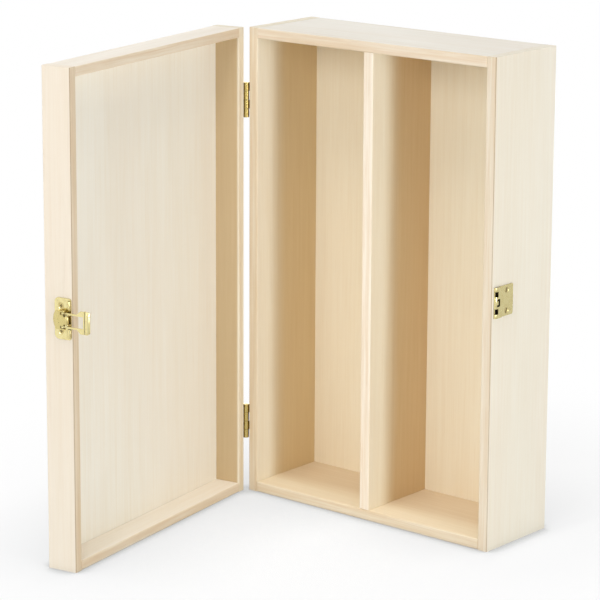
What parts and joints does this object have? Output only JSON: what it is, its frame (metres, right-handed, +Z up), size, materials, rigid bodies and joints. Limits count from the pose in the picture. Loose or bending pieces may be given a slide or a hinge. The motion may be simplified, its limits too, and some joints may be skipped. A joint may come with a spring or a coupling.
{
  "type": "wooden wine box",
  "caption": "Upright wooden gift box for bottles, divided inside, with a shallow hinged lid, brass butt hinges and a brass draw latch.",
  "frame": {"origin": "centre of the case's bottom face, which the box stands on", "axes": "+X to the right along the case's front, +Y from the open front to the back, +Z up"},
  "size_m": [0.2469, 0.2972, 0.35],
  "materials": {
    "board_wood": "bare, sanded",
    "panel_wood": "bare plywood, sanded",
    "brass": "polished plate",
    "screw": "polished plate"
  },
  "bodies": {
    "case": {"left_side": "board_wood", "right_side": "board_wood", "top_board": "board_wood", "bottom_board": "board_wood", "back_panel": "panel_wood", "divider": "board_wood", "upper_hinge_case_leaf": "brass", "upper_hinge_pin": "brass", "lower_hinge_case_leaf": "brass", "lower_hinge_pin": "brass", "case_hinge_screws": "screw", "strike_plate": "brass", "strike_screws": "screw"},
    "lid": {"lid_hinge_rail": "board_wood", "lid_latch_rail": "board_wood", "lid_top_rail": "board_wood", "lid_bottom_rail": "board_wood", "lid_panel": "panel_wood", "upper_hinge_lid_leaf": "brass", "lower_hinge_lid_leaf": "brass", "lid_hinge_screws": "screw", "latch_base": "brass", "latch_screws": "screw", "lever_pin": "brass"},
    "lever": {"latch_lever": "brass", "loop_pin": "brass"},
    "loop": {"latch_loop": "brass"}
  },
  "joints": [
    {"name": "lid_swing", "type": "hinge", "parent": "case", "child": "lid", "pos_m": [-0.1125, -0.0358, 0.175], "axis": [0, 0, -1], "range_deg": [-80.6, 109.4]},
    {"name": "lever_lift", "type": "hinge", "parent": "lid", "child": "lever", "pos_m": [-0.07806, -0.25978, 0.179], "axis": [0, 0, 1], "range_deg": [0, 90]},
    {"name": "loop_swing", "type": "hinge", "parent": "lever", "child": "loop", "pos_m": [-0.08083, -0.26014, 0.179], "axis": [0, 0, 1], "range_deg": [-120, 0]}
  ],
  "couplings": [
    {"joint": "loop_swing", "follows": "lever_lift", "ratio": -1.3333}
  ]
}
